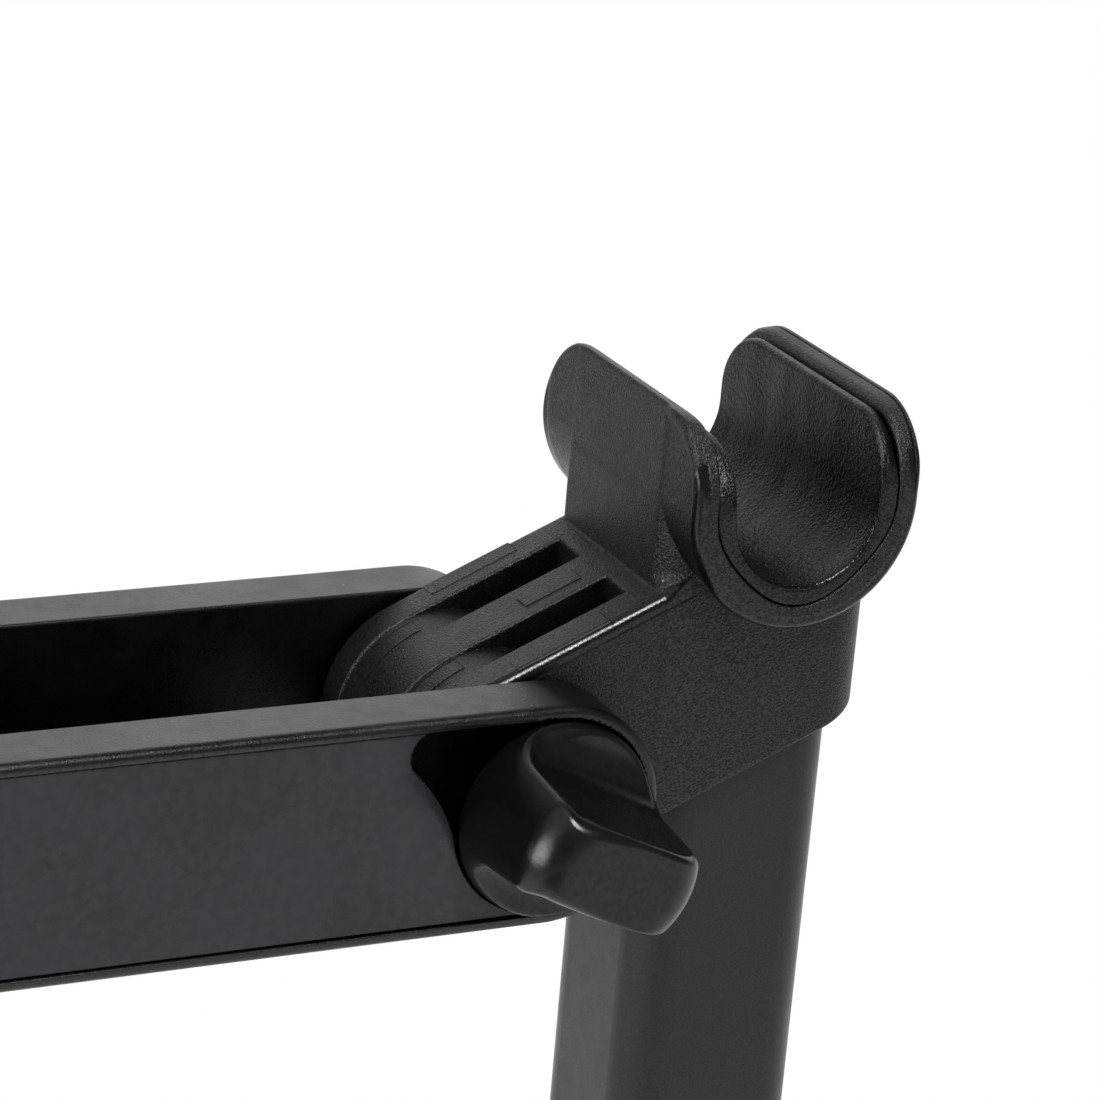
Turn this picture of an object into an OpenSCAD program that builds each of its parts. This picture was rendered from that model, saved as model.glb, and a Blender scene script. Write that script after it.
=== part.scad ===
// Swivel bracket: a U-shaped arm clamps the slanted tongue of a head. The head
// carries a tube cradle on top and a square post below, and one knob locks the
// pivot. Millimetres, +Z up the post, pivot axis along Y through the origin,
// arm along -X, head along +X.

/* [Arm] */
// Overall width of the arm across its two side walls
arm_w = 76.4; // [76:0.2:78]
// Height of the arm, also the diameter of its rounded ends
arm_h = 43.5; // [43:0.5:44]
// Length from the pivot axis to the far end of the arm
arm_l = 170; // [165:5:220]
// Clear width between the side walls
arm_gap = 48.6; // [48.6:0.1:48.8]
// Thickness of the web that joins the walls underneath
web_t = 3; // [2.5:0.5:4]
// Width of the raised rim around each outer face
rim_w = 2.3; // [2:0.1:2.5]
// Depth of the pocket around the knob
pocket_d = 9; // [8:0.5:9.5]

/* [Head] */
// Slant of the tongue above the horizontal, degrees
tongue_a = 23.5; // [23:0.5:24.5]
// Width of the tongue and of the post socket
head_w = 46; // [46:0.2:46.4]
// Distance from the pivot axis to the centre line of the post
post_x = 50.7; // [50.5:0.1:51]
// Distance from the pivot axis to the centre of the cradle
cradle_x = 49.7; // [49.5:0.1:50.5]
// Height of the cradle centre above the pivot axis
cradle_z = 54.2; // [54:0.2:56]
// Distance from the pivot axis to the flat face below the near flank
face_x = 27.2; // [27:0.1:27.6]
// Length of the cradle along the pivot axis
cradle_l = 68; // [64:1:72]
// Radius of the tube that the cradle holds
tube_r = 15; // [14.5:0.5:15]
// Thickness of the soft liner in the cradle
liner_t = 4; // [3.8:0.1:4]
// Height of the cradle flanks above the pivot axis
flank_z = 71.5; // [70:0.5:74]

/* [Post] */
// Width of the square post
post_w = 39; // [38.5:0.1:39.5]
// Radius of the post's corners
post_r = 9; // [8:0.5:9]
// Wall thickness of the post
post_wall = 2.5; // [2:0.5:3]
// Distance from the pivot axis down to the foot of the post
post_drop = 150; // [120:5:160]

/* [Knob] */
// Radius of the knob at its base
knob_r = 19.1; // [18.5:0.1:19.1]
// Height of the knob above the arm's face
knob_h = 30; // [28:1:34]
// Angle of the knob's grip bar below the horizontal, degrees
knob_a = 23.5; // [0:0.5:45]

/* [Pivot hardware] */
// Radius of the threaded stud
stud_r = 4; // [3.9:0.05:4]
// Radius of the steel sleeve pressed into the tongue
sleeve_r = 8; // [7:0.5:9]
// Thickness of each friction washer
washer_t = 1.2; // [1.1:0.05:1.25]

/* [Hidden] */
$fn = 96;

black = [0.10, 0.10, 0.11];
dark_grey = [0.20, 0.20, 0.21];
soft_black = [0.14, 0.14, 0.14];
steel = [0.70, 0.71, 0.73];
brass = [0.78, 0.62, 0.30];
grease_white = [0.86, 0.85, 0.80];

end_r = arm_h / 2;
outer_y = arm_w / 2;
inner_y = arm_gap / 2;
recess_r = end_r - rim_w;
panel_t = 2.2;
panel_set = 0.7;
tip_x = -6;
pocket_y = outer_y - pocket_d;
seat_y = pocket_y + 2;
seat_r = 12;
run = 0.06;
slip = 0.02;
bush_r = 7;

half_w = head_w / 2;
bar_r = end_r - 0.35;
boss_r = bar_r - 0.35;
column_l = post_x + half_w - face_x;
flat_half = 17;
shell_r = half_w;
liner_r = tube_r + liner_t;
liner_z = flank_z - 1.5;
liner_short = 3;
liner_drop = 3.5;
socket_w = post_w + 0.2;
socket_top = 27;
slot_end_x = 23.4;

web_end = -26;
block_l = 22;
insert_r = 4;
insert_l = 14;
insert_y = 15;
insert_z = 10;

washer_r = 17;
thrust_t = 1.6;
hub_y = seat_y + thrust_t + 2 * slip;
knob_y = outer_y - 0.2;
knob_top = knob_y + knob_h;
insert_depth = 14;
nut_t = 5;
nut_af = 13;
stop_y = pocket_y + nut_t + 2;
ring_t = 0.9;
cover_y = outer_y - 0.9;

// ---- helpers -------------------------------------------------------------

// Extrudes a shape drawn in (x, z) from y0 to y1.
module along_y(y0, y1) {
    translate([0, y1, 0]) rotate([90, 0, 0]) linear_extrude(height = y1 - y0) children();
}

// Round bar on the pivot axis from y0 to y1.
module rod_y(r, y0, y1) {
    translate([0, y1, 0]) rotate([90, 0, 0]) cylinder(r = r, h = y1 - y0);
}

module ring_y(r_out, r_in, y0, y1) {
    difference() {
        rod_y(r_out, y0, y1);
        rod_y(r_in, y0 - 1, y1 + 1);
    }
}

// Square of width w with corner radius r, centred.
module soft_square(w, r) {
    square([w, w - 2 * r], center = true);
    square([w - 2 * r, w], center = true);
    for (sx = [-1, 1], sy = [-1, 1])
        translate([sx * (w / 2 - r), sy * (w / 2 - r)]) circle(r = r);
}

// Runs children on the near side as drawn and mirrored for the far side.
module far_side() {
    mirror([0, 1, 0]) children();
}

// Puts (t, n) of the slanted tongue into (x, z).
module slanted() {
    rotate([0, 0, tongue_a]) children();
}

// ---- arm -----------------------------------------------------------------

// Side outline of a wall, inset by d.
module wall_outline(d) {
    circle(r = end_r - d);
    translate([-arm_l + d, -end_r + d]) square([arm_l - d, arm_h - 2 * d]);
}

// Clear zone around the knob: a round with a lobe at its upper left, joined by a hollow waist.
module knob_zone(r, lobe_r) {
    lobe = [-24, 14.4];
    waist_r = 30;
    bite = 0.05;
    reach = norm(lobe);
    to_knob = r + waist_r;
    to_lobe = lobe_r + waist_r;
    along = (to_knob * to_knob - to_lobe * to_lobe + reach * reach) / (2 * reach);
    side = sqrt(to_knob * to_knob - along * along);
    waist = (along * lobe + side * [-lobe[1], lobe[0]]) / reach;
    circle(r = r);
    translate(lobe) circle(r = lobe_r);
    difference() {
        polygon([[0, 0], waist, lobe, lobe + [0, lobe_r], [0, r]]);
        translate(waist) circle(r = waist_r + bite);
    }
}

module outer_wall() {
    difference() {
        along_y(-outer_y, -inner_y) wall_outline(0);
        along_y(-outer_y - 1, -outer_y + panel_set + panel_t) wall_outline(rim_w);
        along_y(-outer_y - 1, -pocket_y) intersection() {
            wall_outline(rim_w);
            knob_zone(recess_r, 4.6);
        }
    }
}

module arm_frame() {
    color(dark_grey) difference() {
        union() {
            outer_wall();
            far_side() outer_wall();
            rod_y(seat_r, -seat_y, -inner_y);
            rod_y(seat_r, inner_y, pocket_y + 3);
            translate([-arm_l, -inner_y, -end_r]) cube([arm_l + web_end, arm_gap, web_t]);
        }
        rod_y(bush_r, -outer_y, -inner_y + 1);
        rod_y(bush_r, inner_y - 1, pocket_y);
        nut_hex(nut_af + 0.1, pocket_y, pocket_y + 4);
        for (x = screw_xs()) translate([x, 0, -end_r]) screw_shape(slip);
    }
}

function screw_xs() = [-arm_l + 6, -arm_l + block_l - 5];

// Countersunk screw pointing up, its head flush with z = 0; grow widens it for a seat.
module screw_shape(grow) {
    translate([0, 0, -grow]) cylinder(r1 = 4.7 + grow, r2 = 2.5 + grow, h = 2.2 + grow);
    cylinder(r = 2.5 + grow, h = 14);
}

module nut_hex(af, y0, y1) {
    translate([0, y1, 0]) rotate([90, 0, 0]) cylinder(r = af / 2 / cos(30), h = y1 - y0, $fn = 6);
}

module inlay_panel() {
    color(black) along_y(-outer_y + panel_set, -outer_y + panel_set + panel_t - slip) difference() {
        wall_outline(rim_w + 0.15);
        knob_zone(knob_r + 0.3, 5);
        translate([tip_x, -end_r]) square([end_r - tip_x, end_r]);
    }
}

module inlay_panel_near() {
    inlay_panel();
}

module inlay_panel_far() {
    far_side() inlay_panel();
}

module wall_bush_near() {
    color(steel) ring_y(bush_r, stud_r + run, -seat_y, -inner_y);
}

module wall_bush_far() {
    color(steel) ring_y(bush_r, stud_r + run, inner_y, pocket_y);
}

module lock_nut() {
    color(steel) difference() {
        nut_hex(nut_af, pocket_y, pocket_y + nut_t);
        rod_y(stud_r + run, pocket_y - 1, pocket_y + nut_t + 1);
    }
}

module nut_cover() {
    color(black) {
        rod_y(knob_r, cover_y, cover_y + 1.6);
        ring_y(knob_r - 1, knob_r - 3, pocket_y, cover_y);
    }
}

module end_block() {
    color(black) difference() {
        translate([-arm_l, -inner_y, -end_r + web_t]) cube([block_l, arm_gap, arm_h - web_t]);
        for (y = [-insert_y, insert_y], z = [-insert_z, insert_z])
            translate([-arm_l - 1, y, z]) rotate([0, 90, 0]) cylinder(r = insert_r, h = insert_l + 1);
        for (x = screw_xs()) translate([x, 0, -end_r]) cylinder(r = 2.5, h = 16);
    }
}

module end_block_screws() {
    color(steel) for (x = screw_xs()) translate([x, 0, -end_r]) screw_shape(0);
}

module end_inserts() {
    color(brass) for (y = [-insert_y, insert_y], z = [-insert_z, insert_z])
        translate([-arm_l, y, z]) rotate([0, 90, 0]) difference() {
            cylinder(r = insert_r, h = insert_l);
            translate([0, 0, -1]) cylinder(r = 2.5, h = insert_l);
        }
}

// ---- head ----------------------------------------------------------------

module tongue_outline() {
    circle(r = bar_r);
    slanted() translate([0, -bar_r]) square([post_x / cos(tongue_a), 2 * bar_r]);
}

// Horizontal section of the post socket: tight front corners, softer rear ones.
module column_section() {
    front_r = 6;
    rear_r = 9.5;
    translate([front_r, -half_w]) square([column_l - front_r - rear_r, head_w]);
    translate([0, -half_w + front_r]) square([front_r, head_w - 2 * front_r]);
    translate([column_l - rear_r, -half_w + rear_r]) square([rear_r, head_w - 2 * rear_r]);
    for (s = [-1, 1]) {
        translate([front_r, s * (half_w - front_r)]) circle(r = front_r);
        translate([column_l - rear_r, s * (half_w - rear_r)]) circle(r = rear_r);
    }
}

module column_solid() {
    difference() {
        translate([face_x, 0, -30]) linear_extrude(height = cradle_z + 30) column_section();
        along_y(-50, 50) slanted() translate([-60, -bar_r - 60]) square([200, 60]);
    }
}

// Trough outline in (x, z): round bottom, straight flanks.
module trough(r, z_top) {
    translate([cradle_x, cradle_z]) circle(r = r);
    translate([cradle_x - r, cradle_z]) square([2 * r, z_top - cradle_z]);
}

// Side view of the cradle in (y, z): the flank's top corners are round.
module flank_view(len, z_top, r) {
    translate([-len / 2, 0]) square([len, z_top - r]);
    translate([-len / 2 + r, 0]) square([len - 2 * r, z_top]);
    for (s = [-1, 1]) translate([s * (len / 2 - r), z_top - r]) circle(r = r);
}

module flank_trim(len, z_top, r) {
    rotate([90, 0, 90]) linear_extrude(height = 200) flank_view(len, z_top, r);
}

module cradle_shell() {
    difference() {
        intersection() {
            along_y(-cradle_l / 2, cradle_l / 2) trough(shell_r, flank_z);
            flank_trim(cradle_l, flank_z, 15);
        }
        translate([0, -flat_half, 0]) cube([face_x, 2 * flat_half, 100]);
    }
}

// Slot cut between two ribs, open at the top of the tongue.
module slot_cut(y0, y1) {
    along_y(y0, y1) difference() {
        intersection() {
            union() {
                slanted() translate([0, -17.5]) square([60, 60]);
                circle(r = end_r + 2);
            }
            translate([-60, -60]) square([60 + slot_end_x, 120]);
            slanted() translate([-40, -17.5]) square([100, 60]);
        }
        circle(r = boss_r);
    }
}

module head_bracket() {
    color(black) difference() {
        union() {
            along_y(-half_w, half_w) difference() {
                tongue_outline();
                translate([post_x, -60]) square([100, 120]);
            }
            column_solid();
            cradle_shell();
        }
        along_y(-60, 60) trough(liner_r, flank_z + 20);
        slot_cut(-14.4, -6);
        slot_cut(5.4, 14.6);
        rod_y(sleeve_r, -60, 60);
        translate([post_x, 0, -60]) linear_extrude(height = 60 + socket_top)
            soft_square(socket_w, post_r + 0.1);
        for (z = post_screw_zs()) translate([post_x + 15, 0, z]) rotate([0, 90, 0])
            cylinder(r = 2.7, h = 20);
    }
}

function post_screw_zs() = [14, 22];

module pivot_sleeve() {
    color(steel) ring_y(sleeve_r, stud_r + run, -half_w, half_w);
}

module friction_washer(y0, y1) {
    color(grease_white) ring_y(washer_r, stud_r + 2 * run, y0, y1);
}

module friction_washer_near() {
    friction_washer(-half_w - washer_t, -half_w);
}

module friction_washer_far() {
    friction_washer(half_w, half_w + washer_t);
}

// The liner stops short of the shell's far end and sits lower on the flank over the tongue.
module cradle_liner() {
    length = cradle_l - liner_short;
    color(soft_black) difference() {
        intersection() {
            along_y(-cradle_l / 2, length - cradle_l / 2) trough(liner_r, liner_z);
            translate([0, -liner_short / 2, 0]) union() {
                flank_trim(length, liner_z - liner_drop, 12);
                translate([cradle_x, 0, 0]) flank_trim(length, liner_z, 12);
            }
        }
        along_y(-60, 60) trough(tube_r, flank_z + 20);
    }
}

module post_tube() {
    color(dark_grey) difference() {
        translate([post_x, 0, -post_drop]) linear_extrude(height = post_drop + socket_top - 1)
            soft_square(post_w, post_r);
        translate([post_x, 0, -post_drop - 1]) linear_extrude(height = post_drop + socket_top + 1)
            soft_square(post_w - 2 * post_wall, post_r - post_wall);
        for (z = post_screw_zs()) translate([post_x + 15, 0, z]) rotate([0, 90, 0])
            cylinder(r = 2.7, h = 20);
    }
}

module tube_plug(z0, z1) {
    translate([post_x, 0, z0]) linear_extrude(height = z1 - z0)
        soft_square(post_w - 2 * post_wall - 2 * slip, post_r - post_wall - slip);
}

module post_anchor() {
    color(black) difference() {
        tube_plug(4, 25);
        for (z = post_screw_zs()) translate([post_x, 0, z]) rotate([0, 90, 0])
            cylinder(r = 2.5, h = 30);
    }
}

module post_screws() {
    color(steel) for (z = post_screw_zs()) translate([post_x, 0, z]) rotate([0, 90, 0]) {
        translate([0, 0, 4]) cylinder(r = 2.5, h = half_w - 4);
        translate([0, 0, half_w]) cylinder(r1 = 3.6, r2 = 3.2, h = 2.2);
    }
}

module foot_plug() {
    color(black) difference() {
        union() {
            tube_plug(-post_drop, -post_drop + 18);
            translate([post_x, 0, -post_drop - 2]) linear_extrude(height = 2)
                soft_square(post_w, post_r);
        }
        translate([post_x, 0, -post_drop - 3]) cylinder(r = 6, h = 30);
    }
}

module foot_sleeve() {
    color(steel) translate([post_x, 0, -post_drop - 2]) difference() {
        cylinder(r = 6, h = 20);
        translate([0, 0, -1]) cylinder(r = 4.2, h = 22);
    }
}

// ---- knob ----------------------------------------------------------------

module thrust_washer() {
    color(steel) ring_y(seat_r - 0.5, stud_r + run, -seat_y - slip - thrust_t, -seat_y - slip);
}

// Half profile of the knob: radius across, height above the arm up.
module knob_profile() {
    edge_r = 7.5;
    top_r = knob_r - 1.2;
    polygon([[0, 0], [knob_r, 0], [top_r, knob_h - edge_r], [top_r - edge_r, knob_h], [0, knob_h]]);
    translate([top_r - edge_r, knob_h - edge_r]) intersection() {
        circle(r = edge_r);
        square(edge_r);
    }
}

// Finger scoop in (across the bar, height).
module scoop() {
    bar_half = 7.9;
    flange = 3;
    fillet = 8.5;
    translate([bar_half + fillet, flange]) square([20, knob_h + 5]);
    translate([bar_half, flange + fillet]) square([30, knob_h]);
    translate([bar_half + fillet, flange + fillet]) circle(r = fillet);
}

// Knob frame: z is the height above the arm, x runs along the grip bar.
module on_knob() {
    translate([0, -knob_y, 0]) rotate([90, 0, 0]) rotate([0, 0, -knob_a]) children();
}

module knob_grip() {
    color(black) difference() {
        union() {
            on_knob() difference() {
                rotate_extrude() knob_profile();
                for (s = [0, 180]) rotate([0, 0, s]) translate([-40, 0, 0])
                    rotate([90, 0, 90]) linear_extrude(height = 80) scoop();
            }
            rod_y(seat_r - 0.5, -knob_y, -hub_y);
        }
        rod_y(bush_r, -knob_y - insert_depth, -hub_y + 1);
    }
}

module knob_insert() {
    color(brass) ring_y(bush_r, stud_r, -knob_y - insert_depth, -hub_y);
}

module pivot_stud() {
    color(steel) rod_y(stud_r, -knob_y - insert_depth + 1, stop_y + ring_t);
}

module stop_ring() {
    color(steel) ring_y(6, stud_r, stop_y, stop_y + ring_t);
}

arm_frame();
inlay_panel_near();
inlay_panel_far();
wall_bush_near();
wall_bush_far();
lock_nut();
nut_cover();
end_block();
end_block_screws();
end_inserts();
head_bracket();
pivot_sleeve();
friction_washer_near();
friction_washer_far();
cradle_liner();
post_tube();
post_anchor();
post_screws();
foot_plug();
foot_sleeve();
thrust_washer();
knob_grip();
knob_insert();
pivot_stud();
stop_ring();
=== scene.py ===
import math

import bpy
import numpy as np
from mathutils import Matrix, Vector


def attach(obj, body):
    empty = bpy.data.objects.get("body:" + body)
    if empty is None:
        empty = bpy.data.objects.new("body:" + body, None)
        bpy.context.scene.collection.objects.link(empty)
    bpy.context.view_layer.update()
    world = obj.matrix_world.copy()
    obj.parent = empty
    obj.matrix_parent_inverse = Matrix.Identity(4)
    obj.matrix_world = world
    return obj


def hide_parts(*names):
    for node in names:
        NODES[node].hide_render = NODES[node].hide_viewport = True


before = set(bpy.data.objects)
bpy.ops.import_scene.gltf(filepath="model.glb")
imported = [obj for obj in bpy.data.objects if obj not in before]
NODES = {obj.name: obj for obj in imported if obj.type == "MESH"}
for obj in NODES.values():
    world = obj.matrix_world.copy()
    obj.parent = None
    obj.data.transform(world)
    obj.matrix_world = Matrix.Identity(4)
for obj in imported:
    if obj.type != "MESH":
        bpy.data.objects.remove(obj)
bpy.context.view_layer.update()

MM = 0.001
SCENE = bpy.context.scene

# ---- dimensions in millimetres, as in the CAD ------------------------------

# tongue: a slotted bar that slopes up from the pivot and is round at the pivot end
TILT = math.radians(23.5)
COS_T, SIN_T = math.cos(TILT), math.sin(TILT)
HALF_W = 23.0
BAR_R = 21.4
BOSS_R = 21.05  # round bosses that show between the ribs
RIB_GAPS = ((-14.4, -6.0), (5.4, 14.6))
GAP_FLOOR = -17.5
GAP_END_X = 23.4
SLEEVE_R = 8.0

# column around the post
POST_X = 50.7
COLUMN_FRONT_X = 26.9
FACE_X = 27.2  # the front corners are cut back to this flat face
REAR_X = 73.7
COLUMN_TOP = 53.0
SOCKET_HALF, SOCKET_R, SOCKET_ROOF = 19.6, 9.1, 6.0

# cradle for the tube
CRADLE_X, CRADLE_Z = 49.7, 54.2
CRADLE_HALF = 34.0
TUBE_R = 15.0
SEAM_R = 18.9  # between the liner and the shell
EAR_R = 22.35
FLANK_Z = 71.5
LINER_Z = 70.0
LINER_SHORT = 3.0  # the liner's far end stops short of the shell's
LINER_DROP = 3.5  # the liner's flank over the tongue is lower than the other

# arm
ARM_L = 170.0
ARM_END_R = 21.75
OUTER_Y = 38.2
INNER_Y = 24.3
RIM = 2.3  # width of the rim around the side's recess
RECESS = 2.9
INLAY_INSET = 2.45
KNOB_FLOOR_Y = 29.2
CAP_R = 19.0

# knob
KNOB_Y = 38.0
KNOB_H = 30.0
KNOB_R = 19.1
DRAFT, DRAFT_H = 1.25, 22.5  # the wall closes in by DRAFT over the height DRAFT_H
GRIP_HALF = 8.0

# mould insert marks: stretches along the tongue, or in degrees around its bosses, and across in y
RIB_MARK = (18.9, 31.2, -2.4, 1.6)
NEAR_MARK_END, NEAR_MARK_Y = 27.8, -16.9
FAR_MARK_END, FAR_MARK_Y = 27.0, 18.3
BOSS_MARKS = {"far": (110.9, 150.0, 8.6, 12.9), "near": (110.6, 150.0, -11.4, -7.1)}


# ---- distance field tools --------------------------------------------------

def rmax(a, b, r):
    """Overlap of two fields with a rounded edge of radius r."""
    u = np.maximum(r + a, 0)
    v = np.maximum(r + b, 0)
    return np.minimum(-r, np.maximum(a, b)) + np.sqrt(u * u + v * v)


def rmin(a, b, r):
    """Union of two fields with a fillet of radius r."""
    return -rmax(-a, -b, r)


def slab(v, lo, hi):
    """Field of the stretch from lo to hi."""
    return np.maximum(lo - v, v - hi)


def smooth(v, a, b):
    """Soft step from 0 at a to 1 at b."""
    t = np.clip((v - a) / (b - a), 0, 1)
    return t * t * (3 - 2 * t)


def round_rect(u, v, half_u, half_v, r):
    """Centred rounded rectangle; r may vary from point to point."""
    a = np.abs(u) - half_u + r
    b = np.abs(v) - half_v + r
    return np.minimum(np.maximum(a, b), 0) + np.hypot(np.maximum(a, 0), np.maximum(b, 0)) - r


def gradient(f, p, eps=0.02):
    """Slope of f along x, y and z, by central differences."""
    g = np.empty_like(p)
    for k, shift in enumerate(eps * np.eye(3)):
        g[:, k] = (f(*(p + shift).T) - f(*(p - shift).T)) / (2 * eps)
    return g


def unit_gradient(f, p, eps=0.02):
    g = gradient(f, p, eps)
    return g / np.maximum(np.linalg.norm(g, axis=1), 1e-6)[:, None]


def settle(f, p, limit, turns=3):
    """Moves points onto the zero surface of f, by at most limit along each axis a turn."""
    for _ in range(turns):
        g = gradient(f, p)
        step = f(*p.T) / np.maximum((g * g).sum(1), 0.05)
        p = p - g * np.clip(step, -limit, limit)[:, None]
    return p


# ---- surface of a field ----------------------------------------------------

LAYERS = 16  # grid layers sampled at a time
CORNERS = np.array([(i, j, k) for i in (0, 1) for j in (0, 1) for k in (0, 1)])
SUM_ROWS = 13
PULL = 0.04  # how strongly a vertex keeps to the mean of its crossings


def sampled(f, axes):
    """Values of f on a grid."""
    x, y, z = axes
    return np.concatenate([
        f(x[i:i + LAYERS, None, None], y[None, :, None], z[None, None, :]).astype(np.float32)
        for i in range(0, len(x), LAYERS)])


def corners_inside(inside):
    """How many of its eight corners each cell has inside."""
    nx, ny, nz = (n - 1 for n in inside.shape)
    return sum(inside[i:nx + i, j:ny + j, k:nz + k].astype(np.int8) for i, j, k in CORNERS)


def crossings(f, low, axis, step):
    """Points where the grid edges starting at low cross the surface of f."""
    a, b = low.copy(), low.copy()
    b[:, axis] += step
    va, vb = f(*a.T), f(*b.T)
    for _ in range(3):
        t = np.clip(va / (va - vb + 1e-12), 0.02, 0.98)
        m = a + (b - a) * t[:, None]
        vm = f(*m.T)
        first = (vm < 0) == (va < 0)
        a[first], va[first] = m[first], vm[first]
        b[~first], vb[~first] = m[~first], vm[~first]
    t = np.clip(va / (va - vb + 1e-12), 0, 1)
    return a + (b - a) * t[:, None]


def plane_rows(p, n):
    """Rows to be summed per cell: normal equations of the planes through p with normals n, and p."""
    d = (n * p).sum(1)
    return [n[:, 0] ** 2, n[:, 0] * n[:, 1], n[:, 0] * n[:, 2], n[:, 1] ** 2,
            n[:, 1] * n[:, 2], n[:, 2] ** 2, *(n * d[:, None]).T, *p.T, np.ones(len(p))]


def meeting_points(total):
    """Where the summed planes meet, pulled a little towards the mean crossing."""
    count = np.maximum(total[12], 1)
    mean = total[9:12].T / count[:, None]
    pull = PULL * count
    ata = total[[0, 1, 2, 1, 3, 4, 2, 4, 5]].T.reshape(-1, 3, 3) + pull[:, None, None] * np.eye(3)
    atb = total[6:9].T + pull[:, None] * mean
    return np.linalg.solve(ata, atb[:, :, None])[:, :, 0]


def surface_net(f, lo, hi, step):
    """Quad mesh of the zero surface of f, one vertex per crossed cell.

    Every vertex is placed where the tangent planes around it meet, which
    keeps edges crisp.
    """
    axes = [np.arange(a, b + step, step) for a, b in zip(lo, hi)]
    inside = sampled(f, axes) < 0
    shape = inside.shape
    count = corners_inside(inside)
    cells = np.argwhere((count > 0) & (count < len(CORNERS)))
    index = np.full(count.shape, -1, np.int64)
    index[tuple(cells.T)] = np.arange(len(cells))
    total = np.zeros((SUM_ROWS, len(cells)))
    quads = []
    for axis in range(3):
        o1, o2 = (axis + 1) % 3, (axis + 2) % 3
        a = np.take(inside, range(shape[axis] - 1), axis)
        b = np.take(inside, range(1, shape[axis]), axis)
        for entering in (True, False):
            at = np.argwhere(b & ~a if entering else a & ~b)
            at = at[(at[:, o1] > 0) & (at[:, o2] > 0)
                    & (at[:, o1] < shape[o1] - 1) & (at[:, o2] < shape[o2] - 1)]
            p = crossings(f, np.array(lo) + at * step, axis, step)
            rows = plane_rows(p, unit_gradient(f, p))
            ring = []
            for d1, d2 in ((0, 0), (1, 0), (1, 1), (0, 1)):
                cell = at.copy()
                cell[:, o1] -= d1
                cell[:, o2] -= d2
                which = index[tuple(cell.T)]
                ring.append(which)
                for row, weight in enumerate(rows):
                    total[row] += np.bincount(which, weight, len(cells))
            if entering:
                ring.reverse()
            quads.append(np.stack(ring, 1))
    base = np.array(lo) + cells * step
    points = np.clip(meeting_points(total), base - 0.1 * step, base + 1.1 * step)
    return points, np.concatenate(quads)


# ---- meshes ----------------------------------------------------------------

def place(mesh, points):
    """Puts a mesh's vertices at points given in millimetres."""
    mesh.vertices.foreach_set("co", (np.asarray(points) * MM).astype(np.float32).ravel())


def mesh_object(name, points, faces):
    """Object from points in millimetres and faces that all have the same number of sides."""
    mesh = bpy.data.meshes.new(name)
    mesh.vertices.add(len(points))
    place(mesh, points)
    faces = np.asarray(faces)
    mesh.loops.add(faces.size)
    mesh.loops.foreach_set("vertex_index", faces.astype(np.int32).ravel())
    mesh.polygons.add(len(faces))
    mesh.polygons.foreach_set("loop_start", np.arange(0, faces.size, faces.shape[1], dtype=np.int32))
    mesh.update(calc_edges=True)
    mesh.validate()
    obj = bpy.data.objects.new(name, mesh)
    SCENE.collection.objects.link(obj)
    return obj


def shade_smooth(mesh):
    mesh.polygons.foreach_set("use_smooth", np.ones(len(mesh.polygons), bool))


def read(collection, field, kind, width=1):
    """One field of all of a mesh's vertices, loops or polygons."""
    values = np.empty(len(collection) * width, kind)
    collection.foreach_get(field, values)
    return values.reshape(-1, width) if width > 1 else values


def thinned(f, obj, keep, step):
    """Decimates a mesh, moves what is left back onto the surface and returns its points."""
    thin = obj.modifiers.new("thin", "DECIMATE")
    thin.ratio = keep
    bpy.context.view_layer.update()
    ready = obj.evaluated_get(bpy.context.evaluated_depsgraph_get())
    mesh = bpy.data.meshes.new_from_object(ready)
    obj.modifiers.clear()
    obj.data = mesh
    points = read(mesh.vertices, "co", np.float32, 3).astype(float) / MM
    points = settle(f, points, step * 0.3, 2)
    place(mesh, points)
    mesh.update()
    return points


def field_normals(f, mesh, points):
    """Normal of f for every face corner, read slightly inside the face so that edges stay crisp."""
    at = points[read(mesh.loops, "vertex_index", np.int32)]
    centre = read(mesh.polygons, "center", np.float32, 3) / MM
    inward = np.repeat(centre, read(mesh.polygons, "loop_total", np.int32), axis=0) - at
    reach = np.maximum(np.linalg.norm(inward, axis=1), 1e-6)
    at = at + inward * (np.minimum(0.15, 0.35 * reach) / reach)[:, None]
    return unit_gradient(f, at, 0.04)


def finish_piece(obj, body, material, node=None):
    """Gives a piece its material and its body, and takes the CAD node's place if one is named."""
    obj.data.materials.clear()
    obj.data.materials.append(MATERIALS[material])
    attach(obj, body)
    if node:
        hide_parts(node)


def sculpt(name, f, lo, hi, step, keep, body, material, node):
    """Meshes a distance field between lo and hi, thins it and gives it the field's own normals."""
    points, quads = surface_net(f, lo, hi, step)
    points = settle(f, points, step * 0.5)
    obj = mesh_object(name, points, quads)
    points = thinned(f, obj, keep, step)
    shade_smooth(obj.data)
    obj.data.normals_split_custom_set(field_normals(f, obj.data, points).tolist())
    finish_piece(obj, body, material, node)


def add_bevel(obj, width, segments, angle):
    """Small rounding, width in millimetres, of edges sharper than angle in degrees."""
    bevel = obj.modifiers.new("edge", "BEVEL")
    bevel.width = width * MM
    bevel.segments = segments
    bevel.limit_method = "ANGLE"
    bevel.angle_limit = math.radians(angle)
    bevel.harden_normals = True


# ---- shader graphs ---------------------------------------------------------

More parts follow.
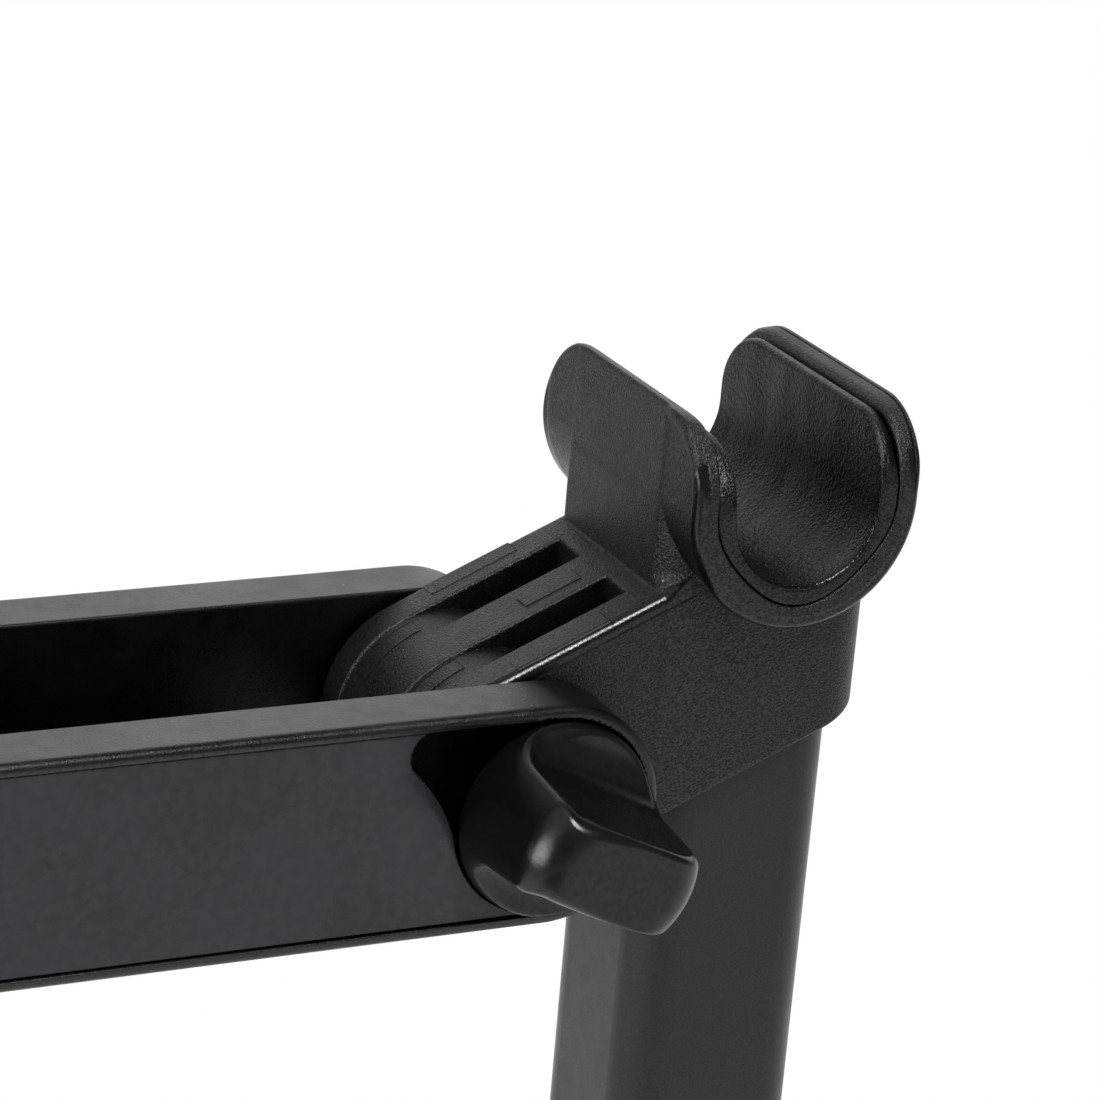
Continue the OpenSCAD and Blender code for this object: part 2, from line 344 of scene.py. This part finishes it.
class Graph:
    """Small helper to write shader graphs in order."""

    def __init__(self, tree):
        self.nodes = tree.nodes
        self.links = tree.links

    def feed(self, socket, value):
        if isinstance(value, bpy.types.NodeSocket):
            self.links.new(value, socket)
        else:
            socket.default_value = value

    def add(self, kind, ins=None, **props):
        node = self.nodes.new(kind)
        for name, value in props.items():
            setattr(node, name, value)
        for key, value in (ins or {}).items():
            self.feed(node.inputs[key], value)
        return node

    def math(self, op, a, b=0.0):
        return self.add("ShaderNodeMath", {0: a, 1: b}, operation=op).outputs[0]

    def minus(self, a, b):
        return self.math("SUBTRACT", a, b)

    def total(self, first, *others):
        for other in others:
            first = self.math("ADD", first, other)
        return first

    def product(self, first, *others):
        for other in others:
            first = self.math("MULTIPLY", first, other)
        return first

    def span(self, value, a, b, lo=0.0, hi=1.0):
        """Soft step from lo where value is a to hi where it is b."""
        return self.add("ShaderNodeMapRange", {"Value": value, "From Min": a, "From Max": b,
                                               "To Min": lo, "To Max": hi},
                        interpolation_type="SMOOTHSTEP").outputs["Result"]

    def span_mm(self, value, a, b, lo=0.0, hi=1.0):
        return self.span(value, a * MM, b * MM, lo, hi)

    def noise(self, vector, scale, detail=2.0, rough=0.5):
        return self.add("ShaderNodeTexNoise", {"Vector": vector, "Scale": scale, "Detail": detail,
                                               "Roughness": rough}).outputs["Fac"]

    def stretched(self, vector, *scale):
        return self.add("ShaderNodeMapping", {"Vector": vector, "Scale": scale}).outputs[0]

    def separate(self, vector):
        return self.add("ShaderNodeSeparateXYZ", {0: vector}).outputs


# ---- marks in the moulding: each function gives a polished mask and a line mask

def no_marks(g, where):
    return 0.0, 0.0


def tube_distance(g, x, z):
    """Distance from the cradle's axis, with straight flanks above it as in trough_radius."""
    dx = g.minus(x, CRADLE_X * MM)
    dz = g.math("MINIMUM", g.minus(z, CRADLE_Z * MM), 0.0)
    return g.math("SQRT", g.total(g.product(dx, dx), g.product(dz, dz)))


def liner_marks(g, where):
    """Shiny inner edge at the liner's near end."""
    x, y, z = g.separate(where)
    r = tube_distance(g, x, z)
    return g.product(g.span_mm(r, 16.1, 15.6), g.span_mm(y, -33.1, -33.5)), 0.0


def outside(g, value, a, b):
    """How far value lies outside the stretch from a to b, negative inside it."""
    from_middle = g.math("ABSOLUTE", g.minus(value, (a + b) / 2 * MM))
    return g.minus(from_middle, (b - a) / 2 * MM)


def head_marks(g, where):
    """Polished tongue edge and bead crests; parting line and mould insert outlines."""
    x, y, z = g.separate(where)
    n = g.minus(g.product(z, COS_T), g.product(x, SIN_T))
    t = g.total(g.product(x, COS_T), g.product(z, SIN_T))
    strip = g.product(g.span_mm(y, -21.0, -21.5), g.span_mm(y, -23.6, -23.2),
                      g.span_mm(n, BAR_R - 3.2, BAR_R - 2.4), g.span_mm(n, BAR_R + 1.4, BAR_R + 0.6),
                      g.span_mm(x, 36, 31))
    r = tube_distance(g, x, z)
    crest = g.product(g.span_mm(g.math("ABSOLUTE", y), 31.4, 32.4), g.span_mm(r, 20.7, 21.5), 0.9)
    polished = g.math("MAXIMUM", strip, crest)

    off = g.math("ABSOLUTE", g.minus(x, (CRADLE_X + 22.2) * MM))
    line = g.product(g.span_mm(off, 0.14, 0.28, 1.0, 0.0), g.span_mm(z, 52, 62))
    arc = g.product(g.math("ARCTAN2", z, x), BOSS_R * MM)
    per_degree = math.radians(1.0) * BOSS_R
    on_top = g.span_mm(n, BAR_R - 0.5, BAR_R - 0.3)
    on_boss = g.span_mm(t, 3, 1)
    # the marks beside the ribs run on past the tongue's sides, so only two of their edges show
    start, past = -4.0, 26.0
    frames = [(t, on_top, *RIB_MARK),
              (t, on_top, start, NEAR_MARK_END, -past, NEAR_MARK_Y),
              (t, on_top, start, FAR_MARK_END, FAR_MARK_Y, past)]
    for a0, a1, y0, y1 in BOSS_MARKS.values():
        frames.append((arc, on_boss, a0 * per_degree, a1 * per_degree, y0, y1))
    for along, mask, a0, a1, y0, y1 in frames:
        rim = g.math("ABSOLUTE", g.math("MAXIMUM", outside(g, along, a0, a1), outside(g, y, y0, y1)))
        line = g.math("MAXIMUM", line, g.product(g.span_mm(rim, 0.04, 0.17, 0.75, 0.0), mask))
    return polished, line


# ---- materials -------------------------------------------------------------

def leather_folds(g, where):
    """Small cells and folds, with slow waves around the trough."""
    cell = g.add("ShaderNodeTexVoronoi", {"Vector": where, "Scale": 1500.0, "Randomness": 1.0},
                 feature="SMOOTH_F1").outputs["Distance"]
    fold = g.noise(where, 650.0, 4.0, 0.65)
    wave = g.noise(g.stretched(where, 30.0, 120.0, 30.0), 1.0, 0.6)
    return g.total(cell, fold, g.product(wave, 5.0))


def dust_specks(g, where):
    """Small dots in about one cell out of seven."""
    cell = g.add("ShaderNodeTexVoronoi", {"Vector": where, "Scale": 140.0, "Randomness": 1.0})
    chance = g.add("ShaderNodeSeparateColor", {0: cell.outputs["Color"]}).outputs[0]
    return g.product(g.math("GREATER_THAN", chance, 0.86),
                     g.math("LESS_THAN", cell.outputs["Distance"], 0.035))


def shaded_tint(g, tint, shade, dusty):
    """The tint times the shade, which is random blotches and painted shade in hollows, with grey dust over
    it.
    """
    grey = g.add("ShaderNodeCombineColor", {0: shade, 1: shade, 2: shade}).outputs[0]
    base = g.add("ShaderNodeMix", {"Factor": 1.0, 6: tint + (1.0,), 7: grey},
                 data_type="RGBA", blend_type="MULTIPLY").outputs[2]
    return g.add("ShaderNodeMix", {"Factor": dusty, 6: base, 7: (0.55, 0.55, 0.55, 1.0)},
                 data_type="RGBA").outputs[2]


def plastic(name, tint, rough, grain=(1500.0, 0.05), fine=(6000.0, 0.01), ior=1.46, leather=0.0,
            streak=0.0, dust=0.35, metal=0.0, pits=0.1, reach=0.045, marks=no_marks):
    """Moulded surface: grain with duller pits, soft blotches in gloss, a few dust specks.

    grain and fine are each a noise scale and a height in millimetres. Both
    colour and gloss are darkened in deep hollows as painted shade, judged over the distance reach.
    """
    mat = bpy.data.materials.new(name)
    mat.use_nodes = True
    g = Graph(mat.node_tree)
    where = g.add("ShaderNodeTexCoord").outputs["Object"]
    polished, line = marks(g, where)
    cloud = g.noise(where, 45.0, 3.0)
    haze = g.noise(where, 260.0)
    pebble = g.noise(where, grain[0], 2.0, 0.6)
    dusty = g.product(dust_specks(g, where), dust)
    # how open each spot is: where it is low, colour and gloss are darkened below as painted shade in
    # hollows
    open_air = g.add("ShaderNodeAmbientOcclusion", {"Distance": reach}, samples=5).outputs["AO"]

    height = g.product(pebble, grain[1], g.minus(1.0, polished))
    height = g.minus(height, g.product(line, 0.15))
    height = g.total(height, g.product(g.noise(where, fine[0], 1.0), fine[1]))
    if leather:
        height = g.total(height, g.product(leather_folds(g, where), leather))
    if streak:
        scratch = g.noise(g.stretched(where, 12.0, 400.0, 400.0), 1.0, 3.0, 0.7)
        height = g.total(height, g.product(scratch, streak))

    # colour: random soft blotches, times painted shade in hollows
    shade = g.product(g.span(cloud, 0.3, 0.7, 0.82, 1.18), g.span(open_air, 0.05, 0.6, 0.15, 1.0))
    spread = g.total(g.span(haze, 0.3, 0.7, -0.03, 0.03), g.span(cloud, 0.3, 0.7, -0.04, 0.04))
    roughness = g.minus(g.total(spread, rough, g.product(dusty, 0.4)), g.product(polished, 0.17))
    # gloss: painted shade dims reflections in hollows; duller pits in the grain; lines almost without
    # gloss
    gloss = g.product(g.span(open_air, 0.1, 0.68, 0.03, 0.5),
                      g.span(pebble, 0.36, 0.64, 1 - pits, 1 + pits),
                      g.minus(1.0, g.product(line, 0.97)))
    bump = g.add("ShaderNodeBump", {"Height": height, "Strength": 1.0, "Distance": MM}).outputs[0]
    bsdf = mat.node_tree.nodes["Principled BSDF"]
    for key, value in (("Base Color", shaded_tint(g, tint, shade, dusty)), ("Roughness", roughness),
                       ("Normal", bump), ("Specular IOR Level", gloss), ("IOR", ior), ("Metallic", metal)):
        g.feed(bsdf.inputs[key], value)
    return mat


SLOTS = {"arm": "arm_moulding", "inlay": "inlay", "head": "head_moulding", "liner": "liner",
         "knob": "knob_moulding", "post": "post_coating", "steel": "steel", "brass": "brass",
         "washer": "washer"}
LOOKS = {
    "arm": dict(tint=(0.0016, 0.0015, 0.0016), rough=0.31, grain=(2400.0, 0.06), fine=(5200.0, 0.012),
                ior=1.55, pits=0.12, reach=0.08),
    "inlay": dict(tint=(0.014, 0.0132, 0.0152), rough=0.18, grain=(500.0, 0.02), fine=(3500.0, 0.004),
                  streak=0.02, dust=0.25),
    "head": dict(tint=(0.0040, 0.0038, 0.0041), rough=0.31, grain=(2400.0, 0.28), fine=(6000.0, 0.02),
                 pits=0.4, reach=0.03, marks=head_marks),
    "liner": dict(tint=(0.0030, 0.0028, 0.0030), rough=0.27, grain=(2700.0, 0.16), leather=0.14,
                  ior=1.43, pits=0.35, marks=liner_marks),
    "knob": dict(tint=(0.003, 0.003, 0.0033), rough=0.24, grain=(900.0, 0.015), fine=(4000.0, 0.006),
                 ior=1.45, reach=0.035, dust=0.5),
    "post": dict(tint=(0.0045, 0.0043, 0.0045), rough=0.30, grain=(2400.0, 0.035), fine=(5000.0, 0.01)),
    "steel": dict(tint=(0.55, 0.55, 0.56), rough=0.30, grain=(1800.0, 0.01), metal=1.0, dust=0.0),
    "brass": dict(tint=(0.72, 0.52, 0.22), rough=0.32, grain=(1800.0, 0.01), metal=1.0, dust=0.0),
    "washer": dict(tint=(0.62, 0.60, 0.55), rough=0.45, grain=(1500.0, 0.02), dust=0.0),
}
MATERIALS = {key: plastic(SLOTS[key], **look) for key, look in LOOKS.items()}


# ---- head bracket ----------------------------------------------------------

def slanted(x, z):
    """Coordinates along the tongue and out of its top face."""
    return x * COS_T + z * SIN_T, z * COS_T - x * SIN_T


def trough_radius(x, z):
    """Distance from the tube's axis, with straight flanks above it."""
    dx, dz = x - CRADLE_X, np.minimum(z - CRADLE_Z, 0)
    return np.hypot(dx, dz), dx, dz


def seam_radius(r, dx, dz):
    """Radius of the boundary between liner and shell, slightly drawn in at the diagonals."""
    q = 2 * dx * dz / np.maximum(r * r, 1e-6)
    return SEAM_R - 1.3 * q * q


def cradle_outline(y, z, half, top, r):
    """Side view of a flank: straight sides, rounded top corners."""
    half_z = 60.0
    return round_rect(y, z - (top - half_z), half, half_z, r)


def tongue(x, y, z, t, n):
    """Bar with a round end, the gaps between its ribs and the bore for the sleeve."""
    from_pivot = np.hypot(x, z)
    bar = np.where(t > 0, np.abs(n), np.hypot(t, n)) - BAR_R
    bar = rmax(bar, np.abs(y) - HALF_W, 1.6)
    bar = np.maximum(bar, x - POST_X)
    for y0, y1 in RIB_GAPS:
        gap = np.maximum(slab(y, y0, y1), np.maximum(GAP_FLOOR - n, x - GAP_END_X))
        gap = np.maximum(gap, BOSS_R - from_pivot)
        bar = rmax(bar, -gap, 0.5)
    return np.maximum(bar, SLEEVE_R - from_pivot)


def column_section(x, y, n):
    """Plan of the column; its near front corner turns softer above the tongue."""
    mid_x, half_x = (COLUMN_FRONT_X + REAR_X) / 2, (REAR_X - COLUMN_FRONT_X) / 2
    near = 1.5 + 6.8 * smooth(n, BAR_R - 1.6, BAR_R + 2.6)
    radius = np.where(x > mid_x, 9.5, np.where(y < 0, near, 4.0))
    section = round_rect(x - mid_x, y, half_x, HALF_W, radius)
    return rmax(section, FACE_X - x, 0.12)


def cradle_shell(x, y, z, section):
    """Plain ears with a bead along their edges, joined to the column by a flat flank."""
    r, dx, _ = trough_radius(x, z)
    flank = np.maximum(rmax(section, x - 36.0, 1.0), 30.0 - z)
    corner = np.where((dx < 0) & (y > 0), 18.5, 15.0)
    outline = cradle_outline(y - 0.35, z, CRADLE_HALF + 0.35, FLANK_Z, corner)
    rise = np.where(dx < 0, smooth(-y, 15.5, 20.5), 1.0)
    swell = 0.8 + 0.3 * np.where(dx > 0, 1.0, smooth(-y, 22.0, 30.0))
    bead = rmax(r - EAR_R - swell * rise, -outline - 2.6, 0.8)
    shell = rmin(r - EAR_R, bead, 2.2 * rise + 0.01)
    shell = rmin(np.maximum(shell, 20.0 - z), flank, 0.25)
    shell = rmax(shell, z - FLANK_Z + 0.42 * (22.2 - r), 0.9)
    edge = 1.25 + smooth(-z, -63.0, -56.0) * np.where(y < 0, 0.85, -0.45)
    return rmax(shell, outline, edge)


def head_field(x, y, z):
    t, n = slanted(x, z)
    section = column_section(x, y, n)
    column = rmax(section, -BAR_R - n, 0.7)
    column = rmax(column, z - COLUMN_TOP, 3.0)
    body = rmin(column, cradle_shell(x, y, z, section), 0.4)
    body = rmin(body, tongue(x, y, z, t, n), 0.5)
    r, dx, dz = trough_radius(x, z)
    lip = 0.45 + 1.2 * smooth(z, 64.0, 69.0)
    body = rmax(body, seam_radius(r, dx, dz) - r, lip)
    socket = round_rect(x - POST_X, y, SOCKET_HALF, SOCKET_HALF, SOCKET_R)
    return rmax(body, -np.maximum(socket, n + BAR_R - SOCKET_ROOF), 0.4)


def liner_field(x, y, z):
    """Soft lining of the trough, cut back towards its outer side near the top."""
    r, dx, dz = trough_radius(x, z)
    shape = r - seam_radius(r, dx, dz) + 0.12
    step = 0.55 * np.maximum(r - 16.7, 0) * smooth(z, 58.0, 64.0)
    top = LINER_Z - LINER_DROP * smooth(-dx, -8.0, 8.0)
    half = CRADLE_HALF - 0.1 - LINER_SHORT / 2
    edge = cradle_outline(y + LINER_SHORT / 2, z, half, top, 13.0) + step
    shape = rmax(shape, edge, 0.6)
    return rmax(shape, TUBE_R - r, 0.5 + 0.6 * smooth(z, 60.0, 68.0))


# ---- knob ------------------------------------------------------------------

def knob_field(x, y, z):
    """Drafted drum with a scoop on either side of a slanted grip, and a hub behind it."""
    h = -KNOB_Y - y
    across = x * SIN_T + z * COS_T
    along = x * COS_T - z * SIN_T
    r = np.hypot(x, z)
    cos_draft = 0.9985
    wall = (r - KNOB_R + DRAFT * np.clip(h, 0, 40) / DRAFT_H) * cos_draft
    body = rmax(wall, h - KNOB_H, 7.5)
    half = GRIP_HALF + 0.055 * np.clip(KNOB_H - h, 0, 20) - 0.02 * along * np.sign(across)
    scoop = rmax(half - np.abs(across), 3.0 - h, 8.0)
    scoop = rmax(scoop, -14.6 - along, 3.0)
    crest = 1.2 + 1.3 * smooth(-along, -2.0, 9.0) + 0.6 * smooth(along, 9.0, 15.0)
    body = rmax(body, -scoop, crest)
    body = rmax(body, -h, 0.5)
    hub = np.maximum(r - 11.5, slab(h, -5.16, 1.0))
    body = np.minimum(body, hub)
    return np.maximum(body, -np.maximum(r - 7.0, h - 14.0))


# ---- arm -------------------------------------------------------------------

def arm_outline(x, z, inset):
    """Side view of the arm: straight, round at the pivot, square at the far end."""
    d = np.where(x > 0, np.hypot(x, z), np.abs(z)) - ARM_END_R + inset
    return np.maximum(d, -ARM_L + inset - x)


def inside_of(x, z, *ring):
    """Convex polygon, corners counter-clockwise."""
    d = -1e3
    for (ax, az), (bx, bz) in zip(ring, ring[1:] + ring[:1]):
        length = math.hypot(bx - ax, bz - az)
        d = np.maximum(d, ((x - ax) * (bz - az) - (z - az) * (bx - ax)) / length)
    return d


def knob_zone(x, z, r, lobe_r):
    """Round space for the knob with a small lobe up the arm, joined below by a hollow waist."""
    lx, lz, waist_r = -24.0, 14.4, 30.0
    reach = math.hypot(lx, lz)
    ka, kb = r + waist_r, lobe_r + waist_r
    along = (ka * ka - kb * kb + reach * reach) / (2 * reach)
    side = math.sqrt(ka * ka - along * along)
    wx = (along * lx - side * lz) / reach
    wz = (along * lz + side * lx) / reach
    d = np.minimum(np.hypot(x, z) - r, np.hypot(x - lx, z - lz) - lobe_r)
    above = inside_of(x, z, (0, 0), (0, r), (lx, lz + lobe_r), (lx, lz))
    waist = waist_r - np.hypot(x - wx, z - wz)
    below = np.maximum(inside_of(x, z, (0, 0), (lx, lz), (wx, wz)), waist)
    return np.minimum(d, np.minimum(above, below))


def arm_field(x, y, z):
    """Two walls with recessed sides, knob pockets and pivot bores, on a web along their lower edge."""
    a = np.abs(y)
    r = np.hypot(x, z)
    inner = arm_outline(x, z, RIM)
    outer = rmax(arm_outline(x, z, 0), a - OUTER_Y, 1.6)
    wall = rmax(outer, INNER_Y - a, 0.5)
    wall = rmax(wall, -np.maximum(inner, OUTER_Y - RECESS - a), 0.25)
    pocket = np.maximum(np.maximum(inner, knob_zone(x, z, 19.45, 4.6)), KNOB_FLOOR_Y - a)
    wall = rmax(wall, -pocket, 0.3)
    boss = np.maximum(r - 12.0, slab(y, -31.2, -INNER_Y))
    wall = np.minimum(wall, boss)
    web = np.maximum(np.maximum(slab(x, -ARM_L, -26.0), slab(z, -ARM_END_R, -18.75)), a - INNER_Y - 1)
    wall = rmin(wall, web, 0.8)
    return np.maximum(wall, -np.maximum(r - 7.0, a - 34))


def inlay_field(sign):
    """Flat panel in the side's recess, cut out around the knob."""
    def field(x, y, z):
        shape = np.maximum(arm_outline(x, z, INLAY_INSET), -knob_zone(x, z, 19.4, 5.0))
        return rmax(shape, slab(y * sign, 35.32, 37.5), 0.22)
    return field


def cover_field(x, y, z):
    """Press-in cap: dished face, snap skirt behind it, pry notch at its lower edge."""
    r = np.hypot(x, z)
    face = 38.85 - 0.55 * smooth(-r, -16.6, -14.6)
    cap = rmax(r - CAP_R, slab(y, 37.35, face), 0.5)
    notch = np.maximum(slab(x, -3.0, 3.0), np.maximum(z + 17.4, 38.1 - y))
    cap = rmax(cap, -notch, 0.3)
    skirt = rmax(slab(r, 16.15, 18.05), slab(y, 29.25, 38.0), 0.4)
    return rmin(cap, skirt, 0.5)


sculpt("head_shell", head_field, (-22.5, -35, -31.5), (75, 35, 72.5), 0.5, 0.33,
       "head", "head", "head_bracket")
sculpt("cradle_pad", liner_field, (30, -35, 34), (69.5, 35, 71), 0.4, 0.6,
       "head", "liner", "cradle_liner")
sculpt("knob_handle", knob_field, (-20, -68.8, -20), (20, -32, 20), 0.4, 0.9,
       "knob", "knob", "knob_grip")
sculpt("arm_shell", arm_field, (-171, -39, -22.6), (22.6, 39, 22.6), 0.6, 0.3,
       "arm", "arm", "arm_frame")
sculpt("pivot_cap", cover_field, (-20, 28.5, -20), (20, 39.5, 20), 0.4, 0.5,
       "arm", "knob", "nut_cover")
for label, sign in (("near", -1), ("far", 1)):
    y_lo, y_hi = sorted((35 * sign, 38 * sign))
    sculpt("inlay_" + label, inlay_field(sign), (-168.5, y_lo, -20.2), (-4, y_hi, 20.2), 0.35, 0.12,
           "arm", "inlay", "inlay_panel_" + label)


# ---- mould insert marks ----------------------------------------------------

PLATE_DEPTH = 0.4  # how far a plate reaches below its face


def plate(name, inner, outer):
    """Thin raised patch: a grid of outer points over the same grid of inner ones."""
    rows, cols = inner.shape[:2]
    points = np.concatenate([inner.reshape(-1, 3), outer.reshape(-1, 3)])
    at = np.arange(rows * cols).reshape(rows, cols)
    up = at + rows * cols
    faces = np.stack([up[:-1, :-1], up[:-1, 1:], up[1:, 1:], up[1:, :-1]], -1).reshape(-1, 4).tolist()
    rim = [*at[0], *at[1:, -1], *at[-1, -2::-1], *at[-2:0:-1, 0]]
    for a, b in zip(rim, rim[1:] + rim[:1]):
        faces.append([b, a, a + rows * cols, b + rows * cols])
    obj = mesh_object(name, points, np.array(faces)[:, ::-1])
    shade_smooth(obj.data)
    add_bevel(obj, 0.07, 1, 30)
    finish_piece(obj, "head", "head")


def flat_patch(t0, t1, y0, y1, height):
    """Inner and outer points of a patch on the tongue's top face."""
    t, y = np.meshgrid([t0, t1], [y0, y1], indexing="ij")
    return [np.stack([t * COS_T - n * SIN_T, y, t * SIN_T + n * COS_T], -1)
            for n in (BAR_R - PLATE_DEPTH, BAR_R + height)]


def boss_patch(a0, a1, y0, y1, height):
    """Inner and outer points of a patch around a boss, between two angles."""
    a, y = np.meshgrid(np.radians(np.linspace(a0, a1, 25)), [y0, y1], indexing="ij")
    return [np.stack([r * np.cos(a), y, r * np.sin(a)], -1)
            for r in (BOSS_R - PLATE_DEPTH, BOSS_R + height)]


plate("insert_mark_rib", *flat_patch(*RIB_MARK, 0.10))
plate("insert_mark_near", *flat_patch(8.0, NEAR_MARK_END, -22.0, NEAR_MARK_Y, 0.05))
plate("insert_mark_far", *flat_patch(8.0, FAR_MARK_END, FAR_MARK_Y, 22.4, 0.05))
for label, mark in BOSS_MARKS.items():
    plate("insert_mark_boss_" + label, *boss_patch(*mark, 0.08))


# ---- looks of the pieces that keep their CAD shape -------------------------

CAD_LOOKS = {
    "steel": ("wall_bush_near", "wall_bush_far", "lock_nut", "end_block_screws", "pivot_sleeve",
              "post_screws", "foot_sleeve", "thrust_washer", "pivot_stud", "stop_ring"),
    "brass": ("end_inserts", "knob_insert"),
    "washer": ("friction_washer_near", "friction_washer_far"),
    "arm": ("end_block",),
    "post": ("post_tube",),
    "head": ("post_anchor", "foot_plug"),
}
BEVEL_WIDTHS = {"end_block": 0.5, "foot_plug": 0.5, "post_screws": 0.15, "end_block_screws": 0.15,
                "end_inserts": 0.15}
for key, names in CAD_LOOKS.items():
    for name in names:
        NODES[name].data.materials.clear()
        NODES[name].data.materials.append(MATERIALS[key])
for name, width in BEVEL_WIDTHS.items():
    add_bevel(NODES[name], width, 2, 40)


# ---- stage, light and camera, in metres ------------------------------------

FLOOR_Z = -0.1525
FLOOR_HALF = 9.0
# pools of light on the floor: x, y, radius of the even middle, radius where it ends, strength
POOLS = ((0.0, 0.0, 0.3, 1.6, 0.50), (-0.32, -0.12, 0.05, 0.30, 0.4),
         (-0.25, 0.50, 0.10, 0.36, -0.36), (-0.30, -0.52, 0.10, 0.34, -0.6))
# lights around the stage, in degrees: azimuth, elevation, half angles as the radii above, strength
LOBES = ((62, 10, 22, 62, 1.05), (190, 4, 4, 28, 7.2), (-101, 54, 4, 19, 20.0),
         (180, 60, 10, 45, 0.6), (-60, 10, 20, 60, 0.14))
FLOOR_GLOW, ROOM_GLOW = 0.38, 0.06
FLOOR_SHOWN, ROOM_SHOWN = 1.0, 1.05  # both look white to the camera


def for_camera(g, lit, shown):
    """The strength lit, except straight from the camera, where it is shown."""
    seen = g.add("ShaderNodeLightPath").outputs["Is Camera Ray"]
    return g.add("ShaderNodeMix", {"Factor": seen, "A": lit, "B": shown}).outputs[0]


def floor_material():
    mat = bpy.data.materials.new("floor")
    mat.use_nodes = True
    g = Graph(mat.node_tree)
    g.nodes.clear()
    spot = g.add("ShaderNodeNewGeometry").outputs["Position"]
    glow = FLOOR_GLOW
    for x, y, inner, outer, strength in POOLS:
        far = g.add("ShaderNodeVectorMath", {0: spot, 1: (x, y, FLOOR_Z)}, operation="DISTANCE")
        glow = g.total(glow, g.span(far.outputs["Value"], inner, outer, strength, 0.0))
    power = for_camera(g, glow, FLOOR_SHOWN)
    light = g.add("ShaderNodeEmission", {"Color": (1, 1, 1, 1), "Strength": power})
    g.add("ShaderNodeOutputMaterial", {"Surface": light.outputs[0]})
    return mat


def towards(azimuth, elevation):
    a, e = math.radians(azimuth), math.radians(elevation)
    return Vector((math.cos(e) * math.cos(a), math.cos(e) * math.sin(a), math.sin(e)))


def studio_world():
    world = bpy.data.worlds.new("studio")
    world.use_nodes = True
    g = Graph(world.node_tree)
    g.nodes.clear()
    way = g.add("ShaderNodeTexCoord").outputs["Generated"]
    glow = ROOM_GLOW
    for azimuth, elevation, inner, outer, strength in LOBES:
        dot = g.add("ShaderNodeVectorMath", {0: way, 1: towards(azimuth, elevation)},
                    operation="DOT_PRODUCT")
        edge, middle = math.cos(math.radians(outer)), math.cos(math.radians(inner))
        glow = g.total(glow, g.span(dot.outputs["Value"], edge, middle, 0.0, strength))
    power = for_camera(g, glow, ROOM_SHOWN)
    back = g.add("ShaderNodeBackground", {"Color": (1, 1, 1, 1), "Strength": power})
    g.add("ShaderNodeOutputWorld", {"Surface": back.outputs[0]})
    return world


corners = [(sx * FLOOR_HALF / MM, sy * FLOOR_HALF / MM, FLOOR_Z / MM)
           for sx, sy in ((-1, -1), (1, -1), (1, 1), (-1, 1))]
floor = mesh_object("floor", corners, [(0, 1, 2, 3)])
floor.data.materials.append(floor_material())
SCENE.world = studio_world()

CAMERA_AT = Vector((-0.321063, -0.658431, 0.303537))
VIEW_AZIMUTH, VIEW_ELEVATION, VIEW_ROLL = 63.0198, -19.8221, 4.8537
lens = bpy.data.cameras.new("camera")
lens.lens = 136.03
lens.sensor_width = 36
lens.clip_start = 0.01
camera = bpy.data.objects.new("camera", lens)
SCENE.collection.objects.link(camera)
camera.matrix_world = (Matrix.Translation(CAMERA_AT)
                       @ Matrix.Rotation(math.radians(VIEW_AZIMUTH - 90), 4, "Z")
                       @ Matrix.Rotation(math.radians(VIEW_ELEVATION + 90), 4, "X")
                       @ Matrix.Rotation(math.radians(VIEW_ROLL), 4, "Z"))
SCENE.camera = camera
SCENE.view_settings.view_transform = "Standard"
